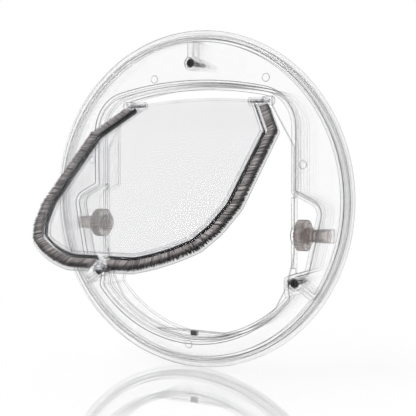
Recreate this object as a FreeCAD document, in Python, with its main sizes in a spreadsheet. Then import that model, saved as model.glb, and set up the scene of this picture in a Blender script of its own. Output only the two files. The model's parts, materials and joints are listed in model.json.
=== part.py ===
import FreeCAD, Part
import math
import os
import Sketcher

V = FreeCAD.Vector
doc = FreeCAD.newDocument("cat_flap")

# Driving dimensions, in millimetres and degrees.
# X runs across the opening, Z runs up, Y runs from the outside of the door to the inside.
# The pane's outer face is the plane y = 0 and the ring's centre is the origin.
DIMENSIONS = [
    # round flange of the outer frame
    ("ring_radius", 134.0),
    ("lip_width", 3.7),
    ("shoulder_step", 1.4),
    ("face_step", 6.4),
    ("face_curve_drop", 0.8),
    ("pane_seal_width", 3.1),
    ("seal_rib_width", 2.2),
    ("front_y", -8.0),
    ("shoulder_y", -4.6),
    ("lip_depth", 2.0),
    ("plate_thickness", 2.5),
    # inner frame
    ("parting_y", 2.0),
    ("rear_step", 4.0),
    ("rear_rim_width", 2.4),
    ("rear_rim_height", 1.4),
    ("rear_plate_thickness", 2.5),
    ("tunnel_end_y", 24.0),
    ("wall", 2.2),
    # opening, seen from the front
    ("top_margin", 43.8),
    ("top_arch_radius", 295.0),
    ("corner_radius", 29.0),
    ("side_margin", 47.0),
    ("bottom_margin", 26.2),
    ("bottom_arc_z", -3.0),
    ("recess_top_z", 5.7),
    ("recess_mouth_radius", 3.0),
    ("recess_shoulder_reach", 21.5),
    ("recess_shoulder_z", -5.0),
    ("recess_shoulder_radius", 8.0),
    ("recess_foot_reach", 11.0),
    ("recess_foot_rise", 2.8),
    ("recess_foot_radius", 4.0),
    ("recess_floor_rise", 6.37),
    ("window_reach", 40.0),
    ("window_low_z", -70.0),
    ("window_height", 90.0),
    ("recess_floor_inset", 1.0),
    ("recess_floor_radius", 2.0),
    ("left_lock_rise", 4.7),
    ("bump_step", 5.7),
    ("bump_half_height", 4.6),
    ("bump_top_radius", 3.0),
    ("bump_low_radius", 4.0),
    ("bump_foot_inset", 1.2),
    ("face_step_width", 3.8),
    ("face_step_depth", 0.5),
    # edge that the flap seals against
    ("seal_inset", 2.3),
    ("seal_top_inset", 3.0),
    ("web_run", 25.0),
    ("web_fall", 49.2),
    ("web_foot_radius", 3.0),
    ("web_front_y", -1.8),
    ("sill_rise", 5.4),
    ("seal_bend_rise", 24.0),
    ("seal_bend_radius", 26.0),
    ("seal_turn_inset", 2.7),
    ("seal_turn_rise", 39.4),
    ("seal_turn_radius", 20.0),
    ("seal_arc_margin", 17.0),
    # screws and their bosses
    ("boss_margin", 26.0),
    ("boss_angle", 34.5),
    ("boss_radius", 5.5),
    ("rear_boss_radius", 5.0),
    ("boss_tip_radius", 3.35),
    ("boss_end_y", 20.0),
    ("web_thickness", 5.0),
    ("web_overlap", 0.5),
    ("rear_web_end_y", 12.0),
    ("screw_head_radius", 3.3),
    ("screw_head_height", 2.2),
    ("counterbore_depth", 3.0),
    ("head_clearance", 0.55),
    ("screw_core_radius", 1.25),
    ("screw_crest_radius", 1.75),
    ("screw_pitch", 2.2),
    ("screw_length", 21.0),
    ("screw_hole_clearance", 0.3),
    ("pilot_clearance", 0.05),
    ("cross_length", 4.2),
    ("cross_width", 0.9),
    ("cross_depth", 1.3),
    # flap
    ("flap_y", 3.2),
    ("hinge_drop", 13.7),
    ("open_angle", 48.8),
    ("panel_thickness", 2.4),
    ("panel_top_gap", 8.7),
    ("seal_gap", 0.6),
    ("pile_length", 8.0),
    ("channel_depth", 5.0),
    ("channel_thickness", 6.4),
    ("groove_depth", 3.4),
    ("groove_width", 3.0),
    ("slot_width", 4.6),
    ("slot_clearance", 0.2),
    ("backing_depth", 1.4),
    ("backing_thickness", 4.4),
    ("pile_thickness", 2.8),
    ("pile_spread", 6.1),
    ("pile_offset", 0.15),
    ("channel_drop", 3.0),
    ("pile_drop", 5.2),
    ("gap_half_top", 5.2),
    ("gap_half_bottom", 8.6),
    # hinge
    ("knuckle_radius", 3.4),
    ("knuckle_margin", 14.5),
    ("knuckle_length", 11.7),
    ("lug_gap", 0.5),
    ("lug_radius", 3.6),
    ("lug_length", 7.8),
    ("lug_end_wall", 3.0),
    ("pin_radius", 1.5),
    ("pin_end_gap", 0.6),
    ("pin_clearance", 0.05),
    ("lug_bore_clearance", 0.02),
    # catch magnets
    ("magnet_width", 5.0),
    ("sill_magnet_height", 3.6),
    ("sill_magnet_depth", 2.9),
    ("holder_depth", 5.0),
    ("flap_magnet_height", 4.0),
    ("flap_magnet_depth", 2.4),
    ("magnet_clearance", 0.1),
    ("pocket_half_width", 4.4),
    ("pocket_drop", 7.4),
    ("pocket_floor", 0.9),
    ("cap_thickness", 0.8),
    ("cap_margin", 0.9),
    # locks
    ("lock_z", -25.7),
    ("dome_radius", 6.65),
    ("nose_radius", 5.8),
    ("nose_length", 8.9),
    ("nose_margin", 0.2),
    ("tail_radius", 4.8),
    ("tail_root_radius", 3.9),
    ("tail_pitch", 2.5),
    ("tail_length", 20.8),
    ("tail_overlap", 0.4),
    ("wheel_radius", 11.8),
    ("wheel_thickness", 7.0),
    ("wheel_rib_depth", 0.8),
    ("wheel_cup_depth", 5.5),
    ("wheel_rim_width", 2.4),
    ("wheel_dish_depth", 2.0),
    ("wheel_hub_radius", 6.9),
    ("wheel_hub_length", 3.0),
    ("wheel_gap", 0.6),
    ("bolt_clearance", 0.1),
    ("guide_radius", 7.2),
    ("guide_length", 3.6),
    # marks that the mould's ejector pins leave
    ("pin_mark_radius", 3.0),
    ("pin_mark_depth", 0.25),
    ("side_mark_x", 95.4),
    ("side_mark_z", 27.4),
    ("top_mark_x", 33.6),
    ("top_mark_z", 96.8),
    ("corner_mark_x", 65.3),
    ("corner_mark_z", 93.3),
    ("low_mark_x", 1.8),
    ("low_mark_z", 115.4),
]
WHEEL_RIBS = 24

# Places that follow from the sizes, so that a larger or smaller ring keeps its margins
PLACES = [
    ("lip_inner_radius", "=sizes.ring_radius - sizes.lip_width"),
    ("shoulder_radius", "=sizes.ring_radius - sizes.shoulder_step"),
    ("face_radius", "=sizes.ring_radius - sizes.face_step"),
    ("face_curve_radius", "=face_radius + 0.62 * (shoulder_radius - face_radius)"),
    ("seal_rib_outer", "=lip_inner_radius - sizes.pane_seal_width"),
    ("seal_rib_inner", "=seal_rib_outer - sizes.seal_rib_width"),
    ("rear_radius", "=sizes.ring_radius - sizes.rear_step"),
    ("top_z", "=sizes.ring_radius - sizes.top_margin"),
    ("half_width", "=sizes.ring_radius - sizes.side_margin"),
    ("bottom_arc_radius", "=sizes.ring_radius - sizes.bottom_margin"),
    ("boss_circle", "=sizes.ring_radius - sizes.boss_margin"),
    ("boss_x", "=boss_circle * cos(sizes.boss_angle * 1 deg)"),
    ("boss_z", "=-boss_circle * sin(sizes.boss_angle * 1 deg)"),
    ("recess_shoulder_x", "=half_width + sizes.recess_shoulder_reach"),
    ("recess_bottom_z", "=boss_z + sizes.recess_floor_rise"),
    ("recess_foot_x", "=half_width + sizes.recess_foot_reach"),
    ("recess_foot_z", "=recess_bottom_z + sizes.recess_foot_rise"),
    ("bump_x", "=half_width - sizes.bump_step"),
    ("web_top_x", "=half_width - sizes.web_run"),
    ("web_foot_z", "=top_z - sizes.web_fall"),
    ("sill_z", "=sizes.bottom_arc_z - bottom_arc_radius + sizes.sill_rise"),
    ("seal_arc_start_x", "=half_width - sizes.seal_arc_margin"),
    ("seal_turn_z", "=sill_z + sizes.seal_turn_rise"),
    ("seal_bend_z", "=seal_turn_z + sizes.seal_bend_rise"),
    ("hinge_z", "=top_z - sizes.hinge_drop"),
    ("channel_top_z", "=hinge_z - sizes.channel_drop"),
    ("pile_top_z", "=hinge_z - sizes.pile_drop"),
    ("knuckle_inner_x", "=web_top_x - sizes.knuckle_margin"),
    ("knuckle_outer_x", "=knuckle_inner_x + sizes.knuckle_length"),
    ("lug_outer_x", "=knuckle_outer_x + sizes.lug_gap + sizes.lug_length"),
    ("edge_x", "=half_width - sizes.seal_inset"),
    ("wheel_x", "=edge_x + sizes.guide_length + sizes.wheel_gap"),
]


def fill_sheet(name, rows):
    sheet = doc.addObject("Spreadsheet::Sheet", name)
    for row, (alias, value) in enumerate(rows, start=1):
        sheet.set("A%d" % row, alias)
        sheet.set("B%d" % row, str(value))
        sheet.setAlias("B%d" % row, alias)
    doc.recompute()
    return sheet


sizes = fill_sheet("sizes", DIMENSIONS)
places = fill_sheet("places", PLACES)
SIZE_NAMES = [alias for alias, value in DIMENSIONS]


def size(alias):
    """A size or a place by its name on the sheets."""
    return float((sizes if alias in SIZE_NAMES else places).get(alias))


def bind(thing, **expressions):
    """Bind properties of a feature to formulas on the sheet. A double underscore stands for a dot."""
    for prop, formula in expressions.items():
        thing.setExpression(prop.replace("__", "."), formula)
    return thing


# Sketches

def outline_sketch(name, edges):
    """A sketch in the XZ plane, made of lines and arcs."""
    sketch = doc.addObject("Sketcher::SketchObject", name)
    sketch.Placement = FreeCAD.Placement(V(0, 0, 0), FreeCAD.Rotation(V(1, 0, 0), 90))
    sketch.addGeometry(edges)
    return sketch


def profile_sketch(name, points):
    """A closed polygon in the XY plane. Each point is two formulas on the sheet."""
    sketch = doc.addObject("Sketcher::SketchObject", name)
    values = [(sizes.evalExpression(px), sizes.evalExpression(py)) for px, py in points]
    values = [(float(a), float(b)) for a, b in values]
    count = len(points)
    for index in range(count):
        start, end = values[index], values[(index + 1) % count]
        sketch.addGeometry(Part.LineSegment(V(start[0], start[1], 0), V(end[0], end[1], 0)))
    for index in range(count):
        sketch.addConstraint(Sketcher.Constraint("Coincident", index, 2, (index + 1) % count, 1))
    for index in range(count):
        for kind, axis in (("DistanceX", 0), ("DistanceY", 1)):
            constraint = Sketcher.Constraint(kind, index, 1, values[index][axis])
            number = sketch.addConstraint(constraint)
            sketch.setExpression("Constraints[%d]" % number, points[index][axis])
    return sketch


# Features

def slab(name, profile, start, thickness):
    """The area inside a profile, pushed along +Y. start and thickness are formulas."""
    body = doc.addObject("Part::Extrusion", name)
    body.Base = profile
    body.DirMode = "Custom"
    body.Dir = V(0, 1, 0)
    body.Solid = True
    return bind(body, LengthFwd=thickness, Placement__Base__y=start)


def grown(name, profile, distance):
    """The profile moved outwards by a formula, or inwards where it is negative."""
    offset = doc.addObject("Part::Offset2D", name)
    offset.Source = profile
    return bind(offset, Value=distance)


def turned(name, profile, axis):
    """The profile spun through a full turn about X or Y."""
    body = doc.addObject("Part::Revolution", name)
    body.Source = profile
    body.Axis = axis
    body.Base = V(0, 0, 0)
    body.Angle = 360
    body.Solid = True
    return body


ALONG_X = FreeCAD.Rotation(V(0, 1, 0), 90)
ALONG_Y = FreeCAD.Rotation(V(1, 0, 0), -90)


def rod(name, direction, radius, length, x="0", y="0", z="0"):
    """A cylinder that starts at x, y, z and runs along the direction."""
    body = doc.addObject("Part::Cylinder", name)
    body.Placement = FreeCAD.Placement(V(0, 0, 0), direction)
    return bind(body, Radius=radius, Height=length,
                Placement__Base__x=x, Placement__Base__y=y, Placement__Base__z=z)


def taper(name, direction, radius, end_radius, length, x="0", y="0", z="0"):
    body = doc.addObject("Part::Cone", name)
    body.Placement = FreeCAD.Placement(V(0, 0, 0), direction)
    return bind(body, Radius1=radius, Radius2=end_radius, Height=length,
                Placement__Base__x=x, Placement__Base__y=y, Placement__Base__z=z)


def block(name, x, y, z):
    """A box. x, y and z are each a pair of formulas: the low face and the length."""
    body = doc.addObject("Part::Box", name)
    return bind(body, Length=x[1], Width=y[1], Height=z[1],
                Placement__Base__x=x[0], Placement__Base__y=y[0], Placement__Base__z=z[0])


def cut(name, base, tool):
    body = doc.addObject("Part::Cut", name)
    body.Base = base
    body.Tool = tool
    return body


def fuse(name, shapes):
    body = doc.addObject("Part::MultiFuse", name)
    body.Shapes = shapes
    return body


def common(name, shapes):
    body = doc.addObject("Part::MultiCommon", name)
    body.Shapes = shapes
    return body


def carried(name, piece):
    """A holder for one piece, with a Placement of its own."""
    body = doc.addObject("Part::Compound", name)
    body.Links = [piece]
    return body


nodes = []


def finish_node(body, name):
    body.Label = name
    nodes.append(body)
    return body


# Outlines of the opening, drawn from top centre to bottom centre for one side

def line(start, end):
    return Part.LineSegment(V(start[0], start[1], 0), V(end[0], end[1], 0))


def arc(centre, radius, start, end):
    """The short arc from start to end about a centre."""
    first = math.atan2(start[1] - centre[1], start[0] - centre[0])
    last = math.atan2(end[1] - centre[1], end[0] - centre[0])
    if last - first > math.pi:
        last -= 2 * math.pi
    if first - last > math.pi:
        last += 2 * math.pi
    middle = (first + last) / 2
    through = (centre[0] + radius * math.cos(middle), centre[1] + radius * math.sin(middle))
    return Part.Arc(V(start[0], start[1], 0), V(through[0], through[1], 0), V(end[0], end[1], 0))


def rounded_line(points):
    """Straight runs through points of x, z and a corner radius, with a true arc at each corner."""
    edges = []
    here = points[0][:2]
    for index in range(1, len(points) - 1):
        corner_x, corner_z, radius = points[index]
        before, after = points[index - 1], points[index + 1]
        to_before = V(before[0] - corner_x, before[1] - corner_z, 0).normalize()
        to_after = V(after[0] - corner_x, after[1] - corner_z, 0).normalize()
        half = to_before.getAngle(to_after) / 2
        reach = radius / math.tan(half)
        start = (corner_x + to_before.x * reach, corner_z + to_before.y * reach)
        end = (corner_x + to_after.x * reach, corner_z + to_after.y * reach)
        middle = (to_before + to_after).normalize() * (radius / math.sin(half))
        centre = (corner_x + middle.x, corner_z + middle.y)
        edges += [line(here, start), arc(centre, radius, start, end)]
        here = end
    edges.append(line(here, points[-1][:2]))
    return edges


def height_on_circle(centre_z, radius, x, sign):
    return centre_z + sign * math.sqrt(radius ** 2 - x ** 2)


def opening_half(side):
    """One side of the tunnel: arch, corner, wall, lock recess, screw bump and bottom arc."""
    arch_z = size("top_z") - size("top_arch_radius")
    arch_radius, corner = size("top_arch_radius"), size("corner_radius")
    corner_x = size("half_width") - corner
    corner_z = height_on_circle(arch_z, arch_radius - corner, corner_x, 1)
    away = V(corner_x, corner_z - arch_z, 0).normalize() * arch_radius
    arch_end = (away.x, arch_z + away.y)
    wall_top = (size("half_width"), corner_z)
    rise = size("left_lock_rise") if side < 0 else 0.0
    bump_low = size("boss_z") - size("bump_half_height")
    bump_high = size("boss_z") + size("bump_half_height") - size("recess_floor_inset")
    bottom_x = size("bump_x") + size("bump_foot_inset")
    bottom = (bottom_x, height_on_circle(size("bottom_arc_z"), size("bottom_arc_radius"), bottom_x, -1))
    edges = [arc((0, arch_z), arch_radius, (0, size("top_z")), arch_end),
             arc((corner_x, corner_z), corner, arch_end, wall_top)]
    edges += rounded_line([
        (size("half_width"), corner_z, 0),
        (size("half_width"), size("recess_top_z") + rise, size("recess_mouth_radius")),
        (size("recess_shoulder_x"), size("recess_shoulder_z") + rise, size("recess_shoulder_radius")),
        (size("recess_foot_x"), size("recess_foot_z"), size("recess_foot_radius")),
        (size("half_width") - size("recess_floor_inset"), size("recess_bottom_z"),
         size("recess_floor_radius")),
        (size("bump_x"), bump_high, size("bump_top_radius")),
        (size("bump_x"), bump_low, size("bump_low_radius")),
        (bottom[0], bottom[1], 0)])
    centre = (0, size("bottom_arc_z"))
    edges.append(arc(centre, size("bottom_arc_radius"), bottom, (0, centre[1] - size("bottom_arc_radius"))))
    return edges


def seal_half(top_edges, web_top):
    """One side of the edge that the flap closes against, below its top edges."""
    inset_x = size("edge_x")
    turn_x = size("bump_x") - size("seal_turn_inset")
    arc_radius = size("bottom_arc_radius") - size("wall")
    centre = (0, size("bottom_arc_z"))
    arc_x = size("seal_arc_start_x")
    arc_start = (arc_x, height_on_circle(centre[1], arc_radius, arc_x, -1))
    sill_x = math.sqrt(arc_radius ** 2 - (size("sill_z") - centre[1]) ** 2)
    edges = top_edges + rounded_line([
        (web_top[0], web_top[1], 0), (inset_x, size("web_foot_z"), size("web_foot_radius")),
        (inset_x, size("seal_bend_z"), size("seal_bend_radius")),
        (turn_x, size("seal_turn_z"), size("seal_turn_radius")),
        (arc_start[0], arc_start[1], 0)])
    edges.append(arc(centre, arc_radius, arc_start, (sill_x, size("sill_z"))))
    edges.append(line((sill_x, size("sill_z")), (0, size("sill_z"))))
    return edges


def web_x(z):
    """Where the slanting web at each top corner stands at a height."""
    inset_x = size("edge_x")
    slope = (inset_x - size("web_top_x")) / (web_top_z() - size("web_foot_z"))
    return size("web_top_x") + (web_top_z() - z) * slope


def web_top_z():
    radius = size("top_arch_radius") - size("seal_top_inset")
    return height_on_circle(size("top_z") - size("top_arch_radius"), radius, size("web_top_x"), 1)


def mirrored(edges):
    flip = FreeCAD.Matrix()
    flip.A11 = -1
    copies = []
    for edge in reversed(edges):
        points = [edge.value(edge.FirstParameter),
                  edge.value((edge.FirstParameter + edge.LastParameter) / 2),
                  edge.value(edge.LastParameter)]
        points = [flip.multVec(point) for point in points]
        if isinstance(edge, Part.LineSegment):
            copies.append(Part.LineSegment(points[2], points[0]))
        else:
            copies.append(Part.Arc(points[2], points[1], points[0]))
    return copies


opening = outline_sketch("opening_outline", opening_half(1) + mirrored(opening_half(-1)))

seal_arch_radius = size("top_arch_radius") - size("seal_top_inset")
seal_arch_centre = (0, size("top_z") - size("top_arch_radius"))
seal_top = [arc(seal_arch_centre, seal_arch_radius,
                (0, seal_arch_centre[1] + seal_arch_radius), (size("web_top_x"), web_top_z()))]
seal_edges = seal_half(seal_top, (size("web_top_x"), web_top_z()))
seal_outline = outline_sketch("seal_outline", seal_edges + mirrored(seal_edges))

cap_z = size("top_z") + size("pile_length") + size("channel_depth")
cap_corner = (web_x(cap_z), cap_z)
envelope_edges = seal_half([line((0, cap_z), cap_corner)], cap_corner)
flap_envelope = outline_sketch("flap_envelope", envelope_edges + mirrored(envelope_edges))


# Places of the three screws

BOSSES = [
    ("top", "0", "places.boss_circle", 90.0),
    ("left", "-places.boss_x", "places.boss_z", 180.0 + size("boss_angle")),
    ("right", "places.boss_x", "places.boss_z", -size("boss_angle")),
]
SIDES = [("left", -1), ("right", 1)]
PIN_MARKS = [("sizes.side_mark_x", "sizes.side_mark_z"), ("-sizes.side_mark_x", "sizes.side_mark_z + 4.9"),
             ("-sizes.top_mark_x", "sizes.top_mark_z"), ("sizes.corner_mark_x", "sizes.corner_mark_z"),
             ("-sizes.low_mark_x", "-sizes.low_mark_z")]


def radial_web(name, angle, start, depth):
    """A flat web from a boss out to the seal rib, at an angle from +X."""
    web = doc.addObject("Part::Box", name)
    turn = FreeCAD.Rotation(V(0, 1, 0), -angle)
    half = turn.multVec(V(size("boss_circle"), 0, -size("web_thickness") / 2))
    web.Placement = FreeCAD.Placement(half, turn)
    return bind(web, Length="places.seal_rib_inner + sizes.web_overlap - places.boss_circle", Width=depth,
                Height="sizes.web_thickness", Placement__Base__y=start)


def lock_height(side):
    return "sizes.lock_z" + (" + sizes.left_lock_rise" if side < 0 else "")


def lock_bore(name, side):
    """The hole for a bolt's tail in the outer wall of a recess."""
    start = "places.wheel_x + sizes.wheel_thickness"
    if side < 0:
        start = "-places.wheel_x - sizes.wheel_thickness - sizes.tail_length"
    return rod(name, ALONG_X, "sizes.tail_radius + sizes.bolt_clearance", "sizes.tail_length",
               x=start, y="sizes.flap_y", z=lock_height(side))


# Outer frame: one clear moulding

def build_front_frame():
    flange = turned("front_flange", profile_sketch("front_flange_section", [
        ("places.seal_rib_inner - 1", "sizes.front_y"),
        ("places.face_radius", "sizes.front_y"),
        ("places.face_curve_radius", "sizes.front_y + sizes.face_curve_drop"),
        ("places.shoulder_radius", "sizes.shoulder_y"),
        ("sizes.ring_radius", "-sizes.lip_depth / 2"),
        ("sizes.ring_radius", "0"),
        ("places.lip_inner_radius", "0"),
        ("places.lip_inner_radius", "-sizes.lip_depth"),
        ("places.seal_rib_outer", "sizes.front_y + sizes.plate_thickness"),
        ("places.seal_rib_outer", "0"),
        ("places.seal_rib_inner", "0"),
        ("places.seal_rib_inner", "sizes.front_y + sizes.plate_thickness"),
        ("places.seal_rib_inner - 1", "sizes.front_y + sizes.plate_thickness"),
    ]), V(0, 1, 0))
    plate = rod("front_plate", ALONG_Y, "places.seal_rib_inner", "sizes.plate_thickness",
                y="sizes.front_y")
    walls = slab("front_walls", grown("front_wall_outline", opening, "sizes.wall"),
                 "sizes.front_y", "sizes.parting_y - sizes.front_y")
    solids = [flange, plate, walls]
    holes = [slab("front_opening", opening, "sizes.front_y - 1", "sizes.parting_y - sizes.front_y + 2")]
    for name, x, z, angle in BOSSES:
        solids.append(rod("front_boss_" + name, ALONG_Y, "sizes.boss_radius",
                          "sizes.parting_y - sizes.front_y", x=x, y="sizes.front_y", z=z))
        solids.append(radial_web("front_web_" + name, angle, "sizes.front_y + 1",
                                 "sizes.parting_y - sizes.front_y - 1"))
        holes.append(rod("front_hole_" + name, ALONG_Y,
                         "sizes.screw_crest_radius + sizes.screw_hole_clearance",
                         "sizes.parting_y - sizes.front_y + 2", x=x, y="sizes.front_y - 1", z=z))
        holes.append(rod("front_counterbore_" + name, ALONG_Y,
                         "sizes.screw_head_radius + sizes.head_clearance",
                         "sizes.counterbore_depth + 1", x=x, y="sizes.front_y - 1", z=z))
    for name, side in SIDES:
        holes.append(lock_bore("front_bolt_hole_" + name, side))
    holes.append(slab("front_face_step", grown("face_step_outline", opening, "sizes.face_step_width"),
                      "sizes.front_y - 1", "sizes.face_step_depth + 1"))
    for number, (x, z) in enumerate(PIN_MARKS):
        holes.append(rod("front_pin_mark_%d" % number, ALONG_Y, "sizes.pin_mark_radius", "1", x=x,
                         y="sizes.front_y + sizes.plate_thickness - sizes.pin_mark_depth", z=z))
    frame = cut("front_frame_body", fuse("front_frame_solid", solids), fuse("front_frame_holes", holes))
    return finish_node(frame, "front_frame")


# Inner frame: the clamp ring, the sealing edge, the tunnel and the hinge lugs

def build_rear_frame():
    plate = rod("rear_plate", ALONG_Y, "places.rear_radius", "sizes.rear_plate_thickness",
                y="sizes.parting_y")
    rim = cut("rear_rim",
              rod("rear_rim_outside", ALONG_Y, "places.rear_radius",
                  "sizes.rear_plate_thickness + sizes.rear_rim_height", y="sizes.parting_y"),
              rod("rear_rim_inside", ALONG_Y, "places.rear_radius - sizes.rear_rim_width",
                  "sizes.rear_plate_thickness + sizes.rear_rim_height + 2", y="sizes.parting_y - 1"))
    depth = "sizes.tunnel_end_y - sizes.parting_y"
    walls = cut("rear_walls",
                slab("rear_wall_outside", grown("rear_wall_outline", opening, "sizes.wall"),
                     "sizes.parting_y", depth),
                slab("rear_wall_inside", opening, "sizes.parting_y - 1", depth + " + 2"))
    solids = [cut("rear_plate_edge", plate,
                  slab("rear_seal_opening", seal_outline, "sizes.parting_y - 1",
                       "sizes.rear_plate_thickness + 2")), rim]
    bosses, holes = [], []
    for name, x, z, angle in BOSSES:
        bosses.append(taper("rear_boss_" + name, ALONG_Y, "sizes.rear_boss_radius",
                            "sizes.boss_tip_radius", "sizes.boss_end_y - sizes.parting_y",
                            x=x, y="sizes.parting_y", z=z))
        bosses.append(radial_web("rear_web_" + name, angle, "sizes.parting_y + 1",
                                 "sizes.rear_web_end_y - sizes.parting_y - 1"))
        holes.append(rod("rear_pilot_" + name, ALONG_Y,
                         "sizes.screw_crest_radius + sizes.pilot_clearance",
                         "sizes.screw_length + sizes.front_y + sizes.counterbore_depth + 0.6"
                         " - sizes.parting_y + 1", x=x, y="sizes.parting_y - 1", z=z))
    for name, side in SIDES:
        pocket = block("recess_%s_window" % name,
                       ("places.half_width" if side > 0 else
                        "-places.half_width - sizes.window_reach", "sizes.window_reach"),
                       ("sizes.parting_y - 1", "sizes.rear_plate_thickness + 2"),
                       ("sizes.window_low_z", "sizes.window_height"))
        holes.append(common("recess_%s_through" % name,
                            [pocket, slab("recess_%s_area" % name, opening, "sizes.parting_y - 1",
                                          "sizes.rear_plate_thickness + 2")]))
        guide_start = "places.edge_x" if side > 0 else "-places.edge_x - sizes.guide_length"
        solids.append(rod("bolt_guide_" + name, ALONG_X, "sizes.guide_radius", "sizes.guide_length",
                          x=guide_start, y="sizes.flap_y", z=lock_height(side)))
        rise = " + sizes.left_lock_rise" if side < 0 else ""
        web_low = "places.recess_bottom_z + sizes.recess_foot_radius"
        web_high = "sizes.recess_top_z%s - sizes.recess_mouth_radius" % rise
        solids.append(block("recess_web_" + name,
                            ("places.edge_x" if side > 0 else "-places.half_width", "sizes.seal_inset"),
                            ("sizes.web_front_y", "sizes.parting_y - sizes.web_front_y + 1"),
                            (web_low, "%s - (%s)" % (web_high, web_low))))
        holes.append(rod("bolt_guide_%s_bore" % name, ALONG_X,
                         "sizes.nose_radius + sizes.bolt_clearance", "sizes.guide_length + 4",
                         x=guide_start + " - 2", y="sizes.flap_y", z=lock_height(side)))
        lug_start = "places.knuckle_outer_x + sizes.lug_gap"
        solids.append(rod("hinge_lug_" + name, ALONG_X, "sizes.lug_radius", "sizes.lug_length",
                          x=lug_start if side > 0 else "-places.lug_outer_x",
                          y="sizes.flap_y", z="places.hinge_z"))
        holes.append(rod("hinge_lug_%s_bore" % name, ALONG_X,
                         "sizes.pin_radius + sizes.lug_bore_clearance",
                         "sizes.lug_length + 1 - sizes.lug_end_wall",
                         x=lug_start + " - 1" if side > 0 else "-places.lug_outer_x + sizes.lug_end_wall",
                         y="sizes.flap_y", z="places.hinge_z"))
        holes.append(lock_bore("rear_bolt_hole_" + name, side))
    solid = fuse("rear_frame_solid", solids + [walls] + bosses)
    return finish_node(cut("rear_frame_body", solid, fuse("rear_frame_holes", holes)), "rear_frame")


# Soft ring that the pane presses on

def build_pane_seal():
    section = profile_sketch("pane_seal_section", [
        ("places.seal_rib_outer + 0.1", "0"),
        ("places.lip_inner_radius - 0.1", "0"),
        ("places.lip_inner_radius - 0.1", "-sizes.lip_depth"),
        ("places.seal_rib_outer + 0.7", "sizes.front_y + sizes.plate_thickness + 1"),
        ("places.seal_rib_outer + 0.1", "sizes.front_y + sizes.plate_thickness + 1"),
    ])
    return finish_node(turned("pane_seal_body", section, V(0, 1, 0)), "pane_seal")


# Screws: pan heads with a cross recess and a coarse thread

def toothed_profile(name, length, crest, root, pitch):
    """Half the section of a rod along +X with saw teeth, drawn above the X axis."""
    points = [(0.0, 0.0), (0.0, crest)]
    teeth = int(length / pitch) - 1
    for tooth in range(teeth):
        start = tooth * pitch
        points += [(start + 0.15 * pitch, crest), (start + 0.35 * pitch, root), (start + 0.85 * pitch, crest)]
    points += [(length - 0.4 * pitch, crest), (length, root * 0.6), (length, 0.0)]
    sketch = doc.addObject("Sketcher::SketchObject", name)
    for start, end in zip(points, points[1:] + points[:1]):
        sketch.addGeometry(line(start, end))
    return sketch


def build_screws():
    for name, x, z, angle in BOSSES:
        seat = "sizes.front_y + sizes.counterbore_depth"
        shank = turned("screw_%s_shank" % name,
                       toothed_profile("screw_%s_section" % name, size("screw_length"),
                                       size("screw_crest_radius"), size("screw_core_radius"),
                                       size("screw_pitch")), V(1, 0, 0))
        shank.Placement = FreeCAD.Placement(V(0, 0, 0), FreeCAD.Rotation(V(0, 0, 1), 90))
        bind(shank, Placement__Base__x=x, Placement__Base__y=seat, Placement__Base__z=z)
        head = taper("screw_%s_head" % name, ALONG_Y, "sizes.screw_head_radius * 0.72",
                     "sizes.screw_head_radius", "sizes.screw_head_height * 0.45", x=x,
                     y=seat + " - sizes.screw_head_height", z=z)
        rim = rod("screw_%s_head_rim" % name, ALONG_Y, "sizes.screw_head_radius",
                  "sizes.screw_head_height * 0.55", x=x,
                  y=seat + " - sizes.screw_head_height * 0.55", z=z)
        top = seat + " - sizes.screw_head_height - 1"
        arms = [block("screw_%s_slot_%d" % (name, turn),
                      (x + " - sizes.%s / 2" % wide, "sizes.%s" % wide),
                      (top, "sizes.cross_depth + 1"),
                      (z + " - sizes.%s / 2" % tall, "sizes.%s" % tall))
                for turn, (wide, tall) in enumerate((("cross_length", "cross_width"),
                                                     ("cross_width", "cross_length")))]
        screw = cut("screw_%s_body" % name, fuse("screw_%s_solid" % name, [shank, head, rim]),
                    fuse("screw_%s_cross" % name, arms))
        finish_node(screw, "screw_" + name)


# Sill with its catch magnet

def build_sill():
    centre = (0, size("bottom_arc_z"))
    radius = size("bottom_arc_radius") - 0.05
    half = math.sqrt(radius ** 2 - (size("sill_z") - centre[1]) ** 2)
    ends = [(-half, size("sill_z")), (half, size("sill_z"))]
    edges = [line(ends[0], ends[1]),
             arc(centre, radius, ends[1], (0, centre[1] - radius)),
             arc(centre, radius, (0, centre[1] - radius), ends[0])]
    bar = slab("sill_bar", outline_sketch("sill_outline", edges),
               "sizes.parting_y - sizes.holder_depth", "sizes.holder_depth - 0.05")
    pocket = block("sill_pocket",
                   ("-sizes.magnet_width / 2 - sizes.magnet_clearance",
                    "sizes.magnet_width + 2 * sizes.magnet_clearance"),
                   ("sizes.parting_y - sizes.sill_magnet_depth - sizes.magnet_clearance", "10"),
                   ("places.sill_z - sizes.sill_magnet_height", "20"))
    finish_node(cut("sill_body", bar, pocket), "sill_magnet_holder")
    magnet = block("sill_magnet_body",
                   ("-sizes.magnet_width / 2", "sizes.magnet_width"),
                   ("sizes.parting_y - sizes.sill_magnet_depth", "sizes.sill_magnet_depth - 0.05"),
                   ("places.sill_z - sizes.sill_magnet_height", "sizes.sill_magnet_height - 0.1"))
    finish_node(magnet, "sill_magnet")


# Flap: drawn closed, in its own plane, then swung open about the hinge line

FLAP_MIDDLE = "sizes.flap_y - sizes.%s / 2"


def swing_open(body):
    hinge = V(0, size("flap_y"), size("hinge_z"))
    body.Placement = FreeCAD.Placement(V(0, 0, 0), FreeCAD.Rotation(V(1, 0, 0), -size("open_angle")), hinge)
    return body


def flap_slab(name, profile, thickness):
    return slab(name, profile, FLAP_MIDDLE % thickness, "sizes." + thickness)


def below(name, height):
    """Everything of the flap under a height."""
    return block(name, ("-200", "400"), ("sizes.flap_y - 50", "100"), ("-300", "300 + " + height))


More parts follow.
